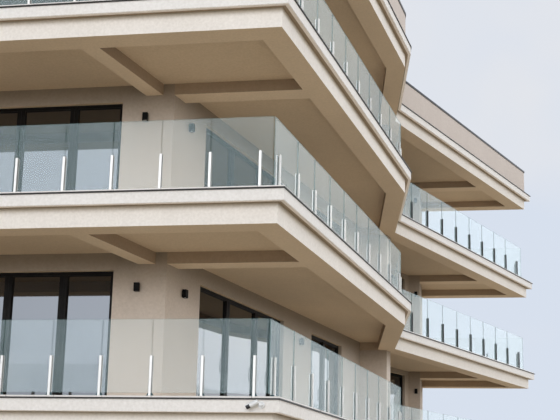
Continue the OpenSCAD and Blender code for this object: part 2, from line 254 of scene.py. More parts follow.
# %% Pale floor
bpy.ops.object.select_all(action="DESELECT")
bpy.ops.mesh.primitive_plane_add(size=240.0, location=(0.0, 0.0, 0.0))
ground = bpy.context.object
ground.name = "ground"
earth = Finish("pale_ground", Roughness=0.95)
earth_patches = earth.patches(0.35, contrast=1.6, detail=5.0)
earth.paint(earth_patches, (0.47, 0.42, 0.34), (0.53, 0.48, 0.40))
ground.data.materials.append(earth.material)
print("floor of", round(ground.dimensions.x), "m")

# %% [markdown]
# The walls and slabs are a cement render painted cream. It is never one flat colour: large
# faint patches come from the trowel and from rain, and a fine sandy grain shows close up.
# Faces that look down are the balcony ceilings. Their warmer, darker colour is painted shade,
# as these faces get little light. They could be picked by hand for a second material, but the
# height of the normal tells them apart in one. Close under a slab the coat is darker, which is
# painted shade of the slab above. Along its edge the slab's underside has a narrow strip of
# painted shade, darker still.

# %% Render finish
looks_down = -0.5
# The strip of painted shade along a slab's underside starts at this share of a storey.
edge_shade_from = 0.92
# The warm tint of the painted shade close under a slab.
shade_tint = (1.0, 0.93, 0.81)


def render_finish(name, light, ceiling, under_slab_shade=None, edge_shade=None):
    """Painted render: a light colour, and a warmer one on faces that look down.

    The colour on faces that look down is painted shade. The painted shade close under a slab
    is given as the share of a storey's height where it starts, where it is darkest, and how
    much light is left there. The strip along a slab's underside, the part of the storey just
    below the slab's upper band, has a colour of its own, which is painted shade as well.
    """
    finish = Finish(name, Roughness=0.88)
    facing = finish.part(finish.add("ShaderNodeTexCoord", output="Normal"), "Z")
    rise = finish.part(finish.add("ShaderNodeTexCoord", output="Object"), "Z")
    in_storey = rise % storey_h
    underside = rgb(*ceiling)
    # A darker strip of painted shade runs along the slab's edge on its underside.
    if edge_shade:
        in_edge_shade = in_storey > edge_shade_from * storey_h
        underside = finish.mix(in_edge_shade, underside, rgb(*edge_shade))
    colour = rgb(*light)
    # Painted shade darkens the coat close under the slab above.
    if under_slab_shade:
        low, high, share = under_slab_shade
        dust_and_shade = finish.ramp(in_storey, low * storey_h, high * storey_h)
        shaded_colour = [channel * share * tint for channel, tint in zip(light, shade_tint)]
        colour = finish.mix(dust_and_shade, colour, rgb(*shaded_colour))
    # Faces that look down get the underside colour, which is painted shade.
    colour = finish.mix(facing < looks_down, colour, underside)
    trowel = finish.patches(0.7, contrast=1.5, middle=0.0, detail=5.0)
    runs = finish.patches(1.0, contrast=0.9, middle=0.0, detail=4.0, stretch=(5.0, 5.0, 0.35))
    mottling = finish.patches(24.0, contrast=3.4, middle=0.0, detail=6.0)
    weather = (trowel + runs + mottling) * 0.5 + 0.5
    tone = finish.mix(weather, rgb(1.05, 1.05, 1.05), rgb(0.90, 0.89, 0.87))
    finish.put("Base Color", finish.mix(1.0, colour, tone, "MULTIPLY"))
    finish.bump(finish.noise(240.0, detail=2.0), strength=0.25, distance=0.002)
    return finish.material


# %% [markdown]
# The slabs' edges have the whitest coat, and the parapet a darker one. The walls' darker
# colour is the same cream with painted shade of the balconies above them. The beams have two
# colours: a pale coat outside and, inside the coffers, where light hardly comes, a brown
# painted shade.

# %% Coats of render
# The colours for faces that look down are painted shade: the ceilings and the beams' feet.
ceiling_shade = (0.68, 0.515, 0.335)
# Painted shade of the strip along a slab's underside.
edge_shade_colour = (0.385, 0.295, 0.20)
edge_paint = (0.905, 0.865, 0.81)
# The walls' colour is the cream render darkened with painted shade of the balconies above.
wall_paint_and_shade = (0.71, 0.61, 0.515)
parapet_paint = (0.67, 0.585, 0.515)
# Painted shade inside the coffers, where little light comes.
coffer_shade = (0.39, 0.285, 0.19)
beam_foot_shade = (0.76, 0.59, 0.40)
trim_paint = (0.90, 0.84, 0.76)
bead_foot_paint = (0.94, 0.85, 0.75)
# Painted shade under a slab: where it starts, where it is darkest, how much light stays.
wall_shade = (0.60, 0.90, 0.42)
beam_shade = (0.90, 0.94, 0.66)

edge_render = render_finish("edge_render", edge_paint, ceiling_shade, edge_shade=edge_shade_colour)
wall_render = render_finish("wall_render", wall_paint_and_shade, ceiling_shade, under_slab_shade=wall_shade)
parapet_render = render_finish("parapet_render", parapet_paint, ceiling_shade)
# Painted shade in brown for the beams' faces inside the coffers.
shaded_beam_render = render_finish("shaded_beam_render", coffer_shade, beam_foot_shade)
lower_render = render_finish("lower_render", trim_paint, beam_foot_shade, under_slab_shade=beam_shade)
bead_render = render_finish("bead_render", trim_paint, bead_foot_paint)
print("made six coats of render")

# %% [markdown]
# The base slab is bare concrete, grey with darker damp patches and fine pores. The roof has
# loose gravel. Real pebbles would take millions of faces, so cell noise makes stones of many
# greys instead.

# %% Concrete and gravel
concrete = Finish("bare_concrete", Roughness=0.9)
damp = concrete.patches(1.1, contrast=2.4, middle=0.12, detail=6.0)
concrete.paint(damp, (0.50, 0.48, 0.45), (0.33, 0.32, 0.30))
concrete.bump(concrete.noise(90.0, detail=3.0), strength=0.3, distance=0.003)

gravel = Finish("roof_gravel", Roughness=0.95)
stones = {"Vector": gravel.place(), "Scale": 28.0}
stone_grey = gravel.add("ShaderNodeTexVoronoi", None, stones, output="Color")
stone_height = gravel.add("ShaderNodeTexVoronoi", None, stones, output="Distance")
gravel.paint(gravel.part(stone_grey, "X"), (0.30, 0.28, 0.26), (0.62, 0.59, 0.55))
gravel.bump(1.0 - stone_height, strength=0.8, distance=0.01)
print("made", concrete.material.name, "and", gravel.material.name)

# %% [markdown]
# The balconies are paved with pale honed slabs. Their joints could be cut into the floor, but
# they are only a few millimetres wide and are hardly seen from below, so they come from the
# distance to the nearest line of a grid.

# %% Paving
def joint_mask(finish, spacing, width):
    """1 on the joints of square slabs, 0 on the stone."""
    point = finish.place()
    mask = 0.0
    for axis in ("X", "Y"):
        along = finish.part(point, axis)
        mask = mask + (along.maths("PINGPONG", along, spacing / 2.0) < width / 2.0)
    return mask


paving = Finish("pale_paving", Roughness=0.55)
stone_tone = paving.patches(2.5, contrast=1.2, detail=6.0)
stone_colour = paving.mix(stone_tone, rgb(0.80, 0.75, 0.68), rgb(0.88, 0.84, 0.78))
paving_joints = joint_mask(paving, spacing=0.71, width=0.006)
paving.put("Base Color", paving.mix(paving_joints, stone_colour, rgb(0.30, 0.26, 0.22)))
paving.bump(1.0 - paving_joints, strength=0.6, distance=0.002)
print("made", paving.material.name)

# %% [markdown]
# The metal parts are powder coated. The coat is matt and dark, with a very fine grain that
# makes its shine uneven. A plain black would look like a hole, so noise lightens it where it
# is worn. Most of the balustrade's posts are brushed stainless steel instead, which is bright
# and mirrors what is round it in a soft blur.

# %% Metals
def coated_metal(name, colour, roughness):
    finish = Finish(name, Metallic=0.0, Specular_IOR_Level=0.1)
    wear = finish.patches(6.0, contrast=1.5, middle=0.075, detail=4.0)
    worn = [min(1.0, 1.5 * value + 0.01) for value in colour]
    finish.paint(wear, colour, worn)
    grain = finish.patches(400.0, contrast=0.2, middle=roughness, detail=1.0)
    finish.put("Roughness", grain)
    return finish.material


drip_metal = coated_metal("drip_metal", (0.035, 0.032, 0.030), 0.45)
window_metal = coated_metal("window_metal", (0.008, 0.007, 0.006), 0.45)
lamp_metal = coated_metal("lamp_metal", (0.004, 0.004, 0.004), 0.5)
shoe_metal = coated_metal("shoe_metal", (0.055, 0.095, 0.105), 0.4)
# Painted shade of steel for the rear posts.
shaded_steel = coated_metal("shaded_steel", (0.045, 0.045, 0.042), 0.45)

brushed = Finish("brushed_steel", Metallic=1.0)
brushing = brushed.noise(60.0, detail=2.0, stretch=(8.0, 8.0, 0.3))
brushed.paint(brushing, (0.42, 0.40, 0.37), (0.54, 0.52, 0.48))
brushed.put("Roughness", (brushing - 0.5) * 0.25 + 0.36)
print("made five coated metals and", brushed.material.name)

# %% [markdown]
# The camera's shell is white plastic with patches of dust, and the glass stands between
# strips of grey rubber. Both are matt, so their colour alone has to show their age.

# %% Plastic and rubber
def plastic_tone(finish):
    """White plastic with patches of dust."""
    dirt = finish.patches(30.0, contrast=1.6, middle=0.2, detail=5.0)
    return finish.mix(dirt, rgb(0.88, 0.88, 0.86), rgb(0.70, 0.68, 0.64))


white_shell = Finish("white_shell", Roughness=0.35)
white_shell.put("Base Color", plastic_tone(white_shell))

rubber = Finish("grey_rubber", Roughness=0.8)
rubber_dust = rubber.patches(40.0, contrast=1.2, middle=0.3, detail=3.0)
rubber.paint(rubber_dust, (0.15, 0.155, 0.15), (0.24, 0.24, 0.235))
print("made", white_shell.material.name, "and", rubber.material.name)

# %% [markdown]
# Window glass is coated and hides the dark rooms, so it is modelled as a nearly black
# surface with a strong reflection.

# %% Window glass
window_glass = Finish("window_glass", Roughness=0.03, IOR=2.0)
haze = window_glass.patches(0.8, contrast=0.02, middle=0.02, detail=3.0)
window_glass.paint(haze, (0.004, 0.004, 0.005), (0.3, 0.3, 0.3))
print("made", window_glass.material.name)

# %% [markdown]
# The balustrade's glass is clear but wet and dusty: it lets most of the light through and
# adds a pale veil, which is thicker where the glass is seen at a slant. True refraction would
# be slow and too clean on such thin panels, so the veil is the glass's alpha. Where the glass
# is cut, it looks green. The camera's lens is dark and the lamps have frosted panes.

# %% Clear, cut and frosted glass
rail_glass = Finish("rail_glass", Roughness=0.06)
dust_and_shade = rail_glass.patches(1.5, contrast=1.4, detail=5.0)
rail_glass.paint(dust_and_shade, (0.64, 0.87, 0.89), (0.76, 0.95, 0.96))
slant = rail_glass.add("ShaderNodeFresnel", None, {"IOR": 1.5})
veil = rail_glass.ramp(slant, low=0.042, high=0.12, start=0.10, end=0.19, kind="LINEAR")
rail_glass.put("Alpha", (dust_and_shade - 0.5) * 0.04 + veil)

cut_glass = Finish("cut_glass_edge", Roughness=0.15)
cut_glass.paint(cut_glass.noise(3.0, detail=2.0), (0.07, 0.19, 0.19), (0.13, 0.30, 0.29))
cut_glass.put("Alpha", 0.5)

lens_glass = Finish("black_lens", Roughness=0.08)
lens_glass.paint(lens_glass.noise(80.0), (0.01, 0.01, 0.012), (0.03, 0.03, 0.04))

lamp_glass = Finish("frosted_lamp_glass", Roughness=0.6)
lamp_glass.paint(lamp_glass.noise(150.0, detail=2.0), (0.78, 0.77, 0.72), (0.88, 0.87, 0.83))
print("made four more kinds of glass")

# %% [markdown]
# Each CAD node keeps its own mesh and only gets a finish in its material slot. One table
# says which, so that a wrong finish is quickly found.

# %% Finishes on the frame
storeys = ("ground", "1", "2", "3")
balconies = storeys[1:]
finish_of = {
    "ground_slab": concrete.material,
    "floor_finishes": paving.material,
    "roof_covering": gravel.material,
    "drip_edges": drip_metal,
    "coping": drip_metal,
    "parapet": parapet_render,
    "roof_slab": edge_render,
    "roof_beams": shaded_beam_render,
    "entrance_door": window_metal,
    "wall_lights": lamp_metal,
}
for storey in storeys:
    for wall in ("front_wall_", "side_walls_", "rear_side_walls_", "back_wall_"):
        finish_of[wall + storey] = wall_render
    finish_of["window_frames_" + storey] = window_metal
    finish_of["window_glass_" + storey] = window_glass.material
for storey in balconies:
    finish_of["slab_" + storey] = edge_render
    finish_of["beams_" + storey] = shaded_beam_render
    finish_of["balustrade_glass_" + storey] = rail_glass.material
    finish_of["balustrade_posts_" + storey] = brushed.material
for node, finish in finish_of.items():
    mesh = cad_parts[node].data
    mesh.materials.clear()
    mesh.materials.append(finish)
print("finishes on", len(finish_of), "of", len(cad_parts), "nodes")

# %% [markdown]
# One node of the frame holds many like solids, such as the posts of a whole balcony. Each
# solid is measured once: where its foot stands, which way its largest face looks, its
# length, depth and height, and the places along it that have corners. New parts are then
# modelled once at the origin and set where the measured solids are. Typed places would be
# shorter, but they wouldn't follow a change in the frame.

# %% Separate solids
weld = 0.0001


def solids_of(node):
    """Short-lived copies of a node's separate solids, with their corners welded."""
    bpy.ops.object.select_all(action="DESELECT")
    copy = bpy.data.objects.new("measured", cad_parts[node].data.copy())
    bpy.context.scene.collection.objects.link(copy)
    copy.select_set(True)
    bpy.context.view_layer.objects.active = copy
    bpy.ops.object.mode_set(mode="EDIT")
    bpy.ops.mesh.select_all(action="SELECT")
    bpy.ops.mesh.remove_doubles(threshold=weld)
    bpy.ops.mesh.separate(type="LOOSE")
    bpy.ops.object.mode_set(mode="OBJECT")
    return list(bpy.context.selected_objects)


def discard(*models):
    for model in models:
        bpy.data.meshes.remove(model.data)


# %% Measure the frame's solids
Spot = namedtuple("Spot", "foot out along length depth height stops")
same_stop = 0.005


def spots_of(node, turn_outward=False):
    """A Spot for each solid of a node. `out` is the way its largest upright face looks."""
    spots = []
    for solid in solids_of(node):
        mesh = solid.data
        upright = [face for face in mesh.polygons if abs(face.normal.z) < 0.01]
        out = max(upright, key=lambda face: face.area).normal.copy()
        if turn_outward and out.dot(upright[0].center) < 0.0:
            out.negate()
        out.z = 0.0
        out.normalize()
        along = Vector((out.y, -out.x, 0.0))
        runs = [vertex.co.dot(along) for vertex in mesh.vertices]
        depths = [vertex.co.dot(out) for vertex in mesh.vertices]
        heights = [vertex.co.z for vertex in mesh.vertices]
        middle = (max(runs) + min(runs)) / 2.0
        foot = along * middle + out * (max(depths) + min(depths)) / 2.0
        foot.z = min(heights)
        stops = []
        for run in sorted(runs):
            if not stops or run - middle > stops[-1] + same_stop:
                stops.append(run - middle)
        size = (max(runs) - min(runs), max(depths) - min(depths), max(heights) - min(heights))
        spots.append(Spot(foot, out, along, *size, stops))
        discard(solid)
    return spots


post_spots = {storey: spots_of("balustrade_posts_" + storey) for storey in balconies}
panel_spots = {storey: spots_of("balustrade_glass_" + storey) for storey in balconies}
window_spots = {storey: spots_of("window_frames_" + storey, True) for storey in storeys}
print("posts on a balcony:", len(post_spots["1"]), "panels:", len(panel_spots["1"]))
print("windows on a storey:", len(window_spots["1"]))

# %% [markdown]
# The new parts are shaped with a few steps that come again and again, so each step is a
# short function. A model stands on the origin and looks along y, and what is picked in edit
# mode is named by where it lies or which way it looks.

# %% Primitives
to_top = (0.0, 0.0, 1.0)
to_front = (0.0, 1.0, 0.0)
to_back = (0.0, -1.0, 0.0)


def block(size, foot=(0.0, 0.0, 0.0)):
    """A box of that size. The point is the middle of its foot."""
    bpy.ops.object.select_all(action="DESELECT")
    middle = (foot[0], foot[1], foot[2] + size[2] / 2.0)
    bpy.ops.mesh.primitive_cube_add(size=1.0, location=middle)
    bpy.context.object.scale = size
    bpy.ops.object.transform_apply(location=True, rotation=True, scale=True)
    return bpy.context.object


def disc(radius, length, start, way=to_top, sides=12):
    """A round bar that starts at a point and runs that way."""
    way = Vector(way).normalized()
    bpy.ops.object.select_all(action="DESELECT")
    bpy.ops.mesh.primitive_cylinder_add(vertices=sides, radius=radius, depth=length)
    bar = bpy.context.object
    bar.location = Vector(start) + way * length / 2.0
    bar.rotation_euler = way.to_track_quat("Z", "Y").to_euler()
    bpy.ops.object.transform_apply(location=True, rotation=True, scale=True)
    return bar


# %% Tests for faces and edges
tiny = 0.001


def anything(*given):
    """A test that every face and edge passes."""
    return True


def looks(way, at_least=0.9):
    """A test for faces that look that way."""
    return lambda face: face.normal.dot(Vector(way)) > at_least


def on_top(top):
    """A test for edges that lie round the top."""
    return lambda first, second: min(first.z, second.z) > top - tiny


def upright_or_top(top):
    """A test for edges that stand upright or lie round the top."""
    return lambda first, second: abs(first.z - second.z) > tiny or on_top(top)(first, second)


def across(axis):
    """A test for edges that stay at one place along an axis."""
    return lambda first, second: abs(first[axis] - second[axis]) < tiny


# %% Steps in edit mode
def choose(piece, faces=None, edges=None):
    """Goes to edit mode with only those faces or edges selected that pass the test."""
    bpy.ops.object.select_all(action="DESELECT")
    piece.select_set(True)
    bpy.context.view_layer.objects.active = piece
    bpy.ops.object.mode_set(mode="EDIT")
    bpy.ops.mesh.select_mode(type="FACE" if faces else "EDGE")
    bpy.ops.mesh.select_all(action="DESELECT")
    bpy.ops.object.mode_set(mode="OBJECT")
    mesh = piece.data
    if faces:
        for face in mesh.polygons:
            face.select = faces(face)
    else:
        for edge in mesh.edges:
            edge.select = edges(*[mesh.vertices[index].co for index in edge.vertices])
    bpy.ops.object.mode_set(mode="EDIT")


def extrude(x=0.0, y=0.0, z=0.0):
    """Pulls the selected faces out by that much."""
    bpy.ops.mesh.extrude_region_move(TRANSFORM_OT_translate={"value": (x, y, z)})


def inset_rings(rings):
    """Insets the selected faces again and again, each time by a width and a depth."""
    for width, depth in rings:
        bpy.ops.mesh.inset(thickness=width, depth=depth)


def soften(piece, width, segments=1, edges=anything):
    """Bevels the edges of a piece that pass the test, or all of them."""
    choose(piece, edges=edges)
    bpy.ops.mesh.bevel(offset=width, segments=segments, affect="EDGES")
    bpy.ops.object.mode_set(mode="OBJECT")
    return piece


# %% Copies and finished pieces
def join(pieces):
    """Makes one object of several."""
    bpy.ops.object.select_all(action="DESELECT")
    for piece in pieces:
        piece.select_set(True)
    bpy.context.view_layer.objects.active = pieces[0]
    if len(pieces) > 1:
        bpy.ops.object.join()
    return bpy.context.object


def set_at(model, spot, wider=0.0, taller=0.0):
    """A copy of a model at a spot. It is stretched between its two ends, not at them."""
    mesh = model.data.copy()
    half_height = max(vertex.co.z for vertex in mesh.vertices) / 2.0
    for vertex in mesh.vertices:
        vertex.co.x += wider / 2.0 if vertex.co.x > 0.0 else -wider / 2.0
        vertex.co.z += taller if vertex.co.z > half_height else 0.0
    turn = Matrix((spot.along, spot.out, Vector(to_top))).transposed()
    mesh.transform(Matrix.Translation(spot.foot) @ turn.to_4x4())
    copy = bpy.data.objects.new(model.name, mesh)
    bpy.context.scene.collection.objects.link(copy)
    return copy


def moved(spot, right=0.0, up=0.0):
    """The same spot, a little along or up."""
    return spot._replace(foot=spot.foot + spot.along * right + Vector((0.0, 0.0, up)))


def finished(piece, name, finish=None, replaced=()):
    """Names a piece, gives it its finish and ties it to the frame."""
    piece.name = name
    piece.data.name = name
    if finish:
        piece.data.materials.clear()
        piece.data.materials.append(finish)
    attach(piece, "root")
    if replaced:
        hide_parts(*replaced)
    triangles = sum(len(face.vertices) - 2 for face in piece.data.polygons)
    print(name, "has", triangles, "triangles")
    return piece


print("modelling helpers ready")

# %% [markdown]
# Under each slab, only the beams' outer faces have the pale coat of the slab's edge. The
# faces inside the coffers are brown, which is painted shade. Both could be separate solids,
# but they are one casting with one coat, and the brown shade is painted on it. A beam's face
# is an outer one if a ray that leaves it at a right angle meets no other beam, so the rays
# choose the colour face by face.

# %% Rendered beams
beams_under = {"slab_" + storey: "beams_" + storey for storey in balconies}
beams_under["roof_slab"] = "roof_beams"
ray_gap = 0.002
towards_middle = 0.1


def rendered_beams(node):
    """A copy of a beams node with its flat faces made whole, and painted face by face."""
    beams = join(solids_of(node))
    bpy.ops.object.mode_set(mode="EDIT")
    bpy.ops.mesh.select_all(action="SELECT")
    bpy.ops.mesh.dissolve_limited(angle_limit=math.radians(0.5))
    bpy.ops.object.mode_set(mode="OBJECT")
    mesh = beams.data
    mesh.materials.clear()
    mesh.materials.append(shaded_beam_render)
    mesh.materials.append(lower_render)
    corners = [vertex.co.copy() for vertex in mesh.vertices]
    faces = [tuple(face.vertices) for face in mesh.polygons]
    everything = BVHTree.FromPolygons(corners, faces)
    outer = 0
    for face in mesh.polygons:
        edge_middle = (corners[face.vertices[0]] + corners[face.vertices[1]]) / 2.0
        start = edge_middle * (1.0 - towards_middle) + face.center * towards_middle
        start = start + face.normal * ray_gap
        upright = abs(face.normal.z) < 0.1
        is_outer = upright and everything.ray_cast(start, face.normal)[0] is None
        # Faces inside the coffers get the brown painted shade.
        face.material_index = 1 if is_outer else 0
        outer += is_outer
    print(node, "has", outer, "outer faces of", len(mesh.polygons))
    return beams


for node in beams_under.values():
    finished(rendered_beams(node), "rendered_" + node, replaced=[node])

# %% [markdown]
# Along its edge, the underside of a slab has a flat pale drip bead, and the strip between it
# and the beam has a dark painted shade. Rain that runs down the edge falls off the bead instead
# of running on to the wall. A profile could be swept round the edge, but its corners would
# need care.
# Here the bead starts as the slab's own outline. It is inset twice, so that only a ring is
# left, and the ring is moved under the band and extruded.

# %% Drip beads
drip_t = 0.008
drip_w = 0.058
drip_from_edge = 0.004
drip_arris = 0.003


def drip_bead(slab, beams):
    """A flat ring under a slab's upper band, close to its edge."""
    ring = join(solids_of(slab))
    band_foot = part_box(beams)[1].z
    choose(ring, faces=lambda face: face.normal.z < 0.99)
    bpy.ops.mesh.delete(type="FACE")
    bpy.ops.mesh.select_all(action="SELECT")
    bpy.ops.mesh.dissolve_faces()
    bpy.ops.mesh.inset(thickness=drip_from_edge)
    bpy.ops.mesh.select_all(action="INVERT")
    bpy.ops.mesh.delete(type="FACE")
    bpy.ops.mesh.select_all(action="SELECT")
    bpy.ops.mesh.inset(thickness=drip_w)
    bpy.ops.mesh.delete(type="FACE")
    bpy.ops.mesh.select_all(action="SELECT")
    bpy.ops.transform.translate(value=(0.0, 0.0, band_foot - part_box(slab)[1].z))
    extrude(z=-drip_t)
    bpy.ops.mesh.select_all(action="SELECT")
    bpy.ops.mesh.normals_make_consistent(inside=False)
    bpy.ops.object.mode_set(mode="OBJECT")
    foot = band_foot - drip_t + tiny
    return soften(ring, drip_arris, edges=lambda first, second: max(first.z, second.z) < foot)


for slab, beams in beams_under.items():
    bead = drip_bead(slab, beams)
    finished(bead, "drip_bead_under_" + slab, bead_render)

# %% [markdown]
# Each post is two flat steel bars that pinch the glass between rubber strips. They stand on
# a foot plate with four nuts, and a tapered shoe between them carries the glass. One post is
# modelled at the size of the frame's posts and then copied. Because more than 200 copies
# are made, it keeps to about 150 faces: just the edges that catch the light are bevelled.

# %% Post bars and foot plate
post = post_spots["1"][0]
glass_t = panel_spots["1"][0].depth
glass_foot = panel_spots["1"][0].foot.z - post.foot.z
rubber_t = 0.003
bar_t = (post.depth - glass_t) / 2.0 - rubber_t
bar_y = (post.depth - bar_t) / 2.0
plate = (0.130, 0.100, 0.010)
plate_top = plate[2]
post_arris = 0.003

steel_parts = []
for side in (-1, 1):
    bar = block((post.length, bar_t, post.height), (0.0, side * bar_y, 0.0))
    steel_parts.append(soften(bar, post_arris, edges=upright_or_top(post.height)))
steel_parts.append(soften(block(plate), post_arris, edges=upright_or_top(plate_top)))
print("bars", round(bar_t, 4), "m thick")

# %% Nuts and bolt heads
nut_x = 0.056
nut_y = 0.040
nut_radius = 0.008
nut_h = 0.010
nut_dome_h = 0.003
nut_dome_taper = 0.5
head_radius = 0.010
head_t = 0.004
head_arris = 0.0025
head_shares = (0.42, 0.82)


def on_head_rim(first, second):
    """A test for the edges round a bolt head's outer end."""
    return min(first.y, second.y) > post.depth / 2.0 + head_t - tiny


for x in (-nut_x, nut_x):
    for y in (-nut_y, nut_y):
        nut = disc(nut_radius, nut_h, (x, y, plate_top), sides=6)
        choose(nut, faces=looks(to_top))
        extrude(z=nut_dome_h)
        bpy.ops.transform.resize(value=(nut_dome_taper, nut_dome_taper, 1.0))
        bpy.ops.object.mode_set(mode="OBJECT")
        steel_parts.append(nut)
for share in head_shares:
    start = (0.0, post.depth / 2.0, share * post.height)
    head = disc(head_radius, head_t, start, to_front, sides=8)
    steel_parts.append(soften(head, head_arris, edges=on_head_rim))
steel_post = join(steel_parts)
print("post", [round(value, 3) for value in steel_post.dimensions])

# %% Post shoe
shoe_top = glass_foot - rubber_t
shoe_size = (0.110, 0.056, shoe_top - plate_top)
shoe_taper = 0.5
shoe = block(shoe_size, (0.0, 0.0, plate_top))
choose(shoe, faces=looks(to_top))
bpy.ops.transform.resize(value=(shoe_taper, 1.0, 1.0))
bpy.ops.object.mode_set(mode="OBJECT")
soften(shoe, post_arris, edges=upright_or_top(shoe_top))
print("shoe", [round(value, 3) for value in shoe.dimensions])

# %% Rubber strips
strip_below_top = 0.015
strip_narrower = 0.004
pad_narrower = 0.006
strip_arris = 0.001
strip_h = post.height - glass_foot - strip_below_top
pad_size = (post.length - pad_narrower, glass_t, rubber_t)
strip_size = (post.length - strip_narrower, rubber_t, strip_h)
strip_parts = [block(pad_size, (0.0, 0.0, shoe_top))]
for side in (-1, 1):
    strip = block(strip_size, (0.0, side * (glass_t + rubber_t) / 2.0, glass_foot))
    strip_parts.append(soften(strip, strip_arris, edges=upright_or_top(glass_foot + strip_h)))
rubber_strip = join(strip_parts)
print("rubber strips", round(strip_h, 3), "m high")

# %% [markdown]
# The posts on the rear balconies look nearly black in the photograph, so they are coloured
# dark, which is painted shade on the same steel. The front ones are bright steel. A line a
# little behind the middle parts the two.

# %% Posts on each balcony
rear_line = 0.2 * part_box("slab_1")[1].y
for storey, spots in post_spots.items():
    node = "balustrade_posts_" + storey
    front = [set_at(steel_post, spot) for spot in spots if spot.foot.y < rear_line]
    rear = [set_at(steel_post, spot) for spot in spots if spot.foot.y >= rear_line]
    finished(join(front), "steel_posts_" + storey, brushed.material, [node])
    finished(join(rear), "rear_posts_" + storey, shaded_steel, [node])
    strips = join([set_at(rubber_strip, spot) for spot in spots])
    finished(strips, "rubber_strips_" + storey, rubber.material)
    shoes = join([set_at(shoe, spot) for spot in spots])
    finished(shoes, "post_shoes_" + storey, shoe_metal)
discard(steel_post, rubber_strip, shoe)

# %% [markdown]
# A glass panel has polished edges with a small chamfer. Light that enters the glass leaves
# it there, which is why the edges look green. The panel is modelled one metre wide and
# stretched to each width. Scaling would be quicker, but it would widen the chamfers too. Its
# two large faces get the clear finish and the edges the green one.

# %% Balustrade glass
glass_chamfer = 0.0015
panel_h = panel_spots["1"][0].height
glass_panel = soften(block((1.0, glass_t, panel_h)), glass_chamfer)
glass_panel.data.materials.append(rail_glass.material)
glass_panel.data.materials.append(cut_glass.material)
for face in glass_panel.data.polygons:
    face.material_index = 0 if abs(face.normal.y) > 0.9 else 1
for storey, spots in panel_spots.items():
    panels = join([set_at(glass_panel, spot, wider=spot.length - 1.0) for spot in spots])
    name = "glass_panels_" + storey
    finished(panels, name, replaced=["balustrade_glass_" + storey])
discard(glass_panel)

# %% [markdown]
# In each light of a window, a sloping bead holds the glass in the slim frame. It could be
# four mitred strips, but a flat ring has closed corners from the start: it is extruded, and
# then its inner edge is pushed back. The ring is modelled one metre wide and high, and
# stretched to every light.

# %% Glazing bead
bead_w = 0.016
bead_t = 0.019
bead_slope = 0.010
frame_front = window_spots["1"][0].depth / 2.0
frame_face = window_spots["1"][0].stops[1] - window_spots["1"][0].stops[0]

bpy.ops.object.select_all(action="DESELECT")
quarter_turn = (math.radians(-90.0), 0.0, 0.0)
bpy.ops.mesh.primitive_plane_add(size=1.0, location=(0.0, 0.0, 0.5), rotation=quarter_turn)
bpy.ops.object.transform_apply(location=True, rotation=True, scale=True)
bead = bpy.context.object
choose(bead, faces=anything)
bpy.ops.mesh.inset(thickness=bead_w)
bpy.ops.mesh.delete(type="FACE")
bpy.ops.mesh.select_all(action="SELECT")
extrude(y=bead_t)
bpy.ops.object.mode_set(mode="OBJECT")
for vertex in bead.data.vertices:
    is_inner = abs(vertex.co.x) < 0.5 - bead_w / 2.0
    if is_inner and vertex.co.y > bead_t / 2.0:
        vertex.co.y -= bead_slope
choose(bead, faces=anything)
bpy.ops.mesh.normals_make_consistent(inside=False)
bpy.ops.object.mode_set(mode="OBJECT")
print("bead ring of", len(bead.data.polygons), "faces")

# %% Glazing beads in every light
def lights_of(spot):
    """The glazed bays of a window, as pairs of distances along it."""
    inner = spot.stops[1:-1]
    return list(zip(inner[0::2], inner[1::2]))


def bars_of(spot):
    """The bars between a window's bays."""
    inner = spot.stops[2:-2]
    return list(zip(inner[0::2], inner[1::2]))


def clear_height(spot):
    """The height between a window's head and its foot."""
    return spot.height - 2.0 * frame_face


for storey, spots in window_spots.items():
    rings = []
    for spot in spots:
        for left, right in lights_of(spot):
            middle = moved(spot, right=(left + right) / 2.0, up=frame_face)
            stretch = {"wider": right - left - 1.0, "taller": clear_height(spot) - 1.0}
            rings.append(set_at(bead, middle, **stretch))
    finished(join(rings), "glazing_beads_" + storey, window_metal)
discard(bead)

# %% [markdown]
# On every bar of a sliding window two stiles meet, with a fine gap between them. One of them
# has a pull handle at hand height. Its grip and its two feet are plain bars with rounded
# edges, because nobody sees more of them from outside.

# %% Meeting stiles
stile_gap = 0.006
stile_t = 0.006
stile_arris = 0.002
bar_left, bar_right = bars_of(max(window_spots["1"], key=lambda spot: spot.length))[0]
stile_w = (bar_right - bar_left - stile_gap) / 2.0
stile_x = (stile_w + stile_gap) / 2.0
stile_front = frame_front + stile_t


def at_stile_front(first, second):
    """A test for the edges that start on a stile's front."""
    return first.y > stile_front - tiny


stile_parts = []
for side in (-1, 1):
    stile = block((stile_w, stile_t, 1.0), (side * stile_x, frame_front + stile_t / 2.0, 0.0))
    stile_parts.append(soften(stile, stile_arris, edges=at_stile_front))
stiles = join(stile_parts)
print("stiles", round(stile_w, 3), "m wide")

# %% Pull handle
grip = (0.016, 0.010, 0.280)
grip_out = 0.035
grip_arris = 0.003
grip_foot = (0.014, 0.032, 0.014)
grip_foot_heights = (0.03, 0.236)
pull_height = 0.85
pull_parts = [soften(block(grip, (stile_x, stile_front + grip_out, 0.0)), grip_arris)]
for height in grip_foot_heights:
    foot = block(grip_foot, (stile_x, stile_front + grip_foot[1] / 2.0, height))
    pull_parts.append(soften(foot, stile_arris))
pull = join(pull_parts)
print("pull", [round(value, 3) for value in pull.dimensions])

# %% Stiles and pulls on every bar
for storey, spots in window_spots.items():
    copies = []
    for spot in spots:
        for left, right in bars_of(spot):
            middle = moved(spot, right=(left + right) / 2.0, up=frame_face)
            copies.append(set_at(stiles, middle, taller=clear_height(spot) - 1.0))
            copies.append(set_at(pull, moved(middle, up=pull_height)))
    finished(join(copies), "window_stiles_" + storey, window_metal)
discard(stiles, pull)

# %% [markdown]
# Under each window a folded sill covers the threshold and throws the rain clear. A real one
# is bent from sheet, and so is this one: a thin plate's front edge is extruded outwards and
# then down.

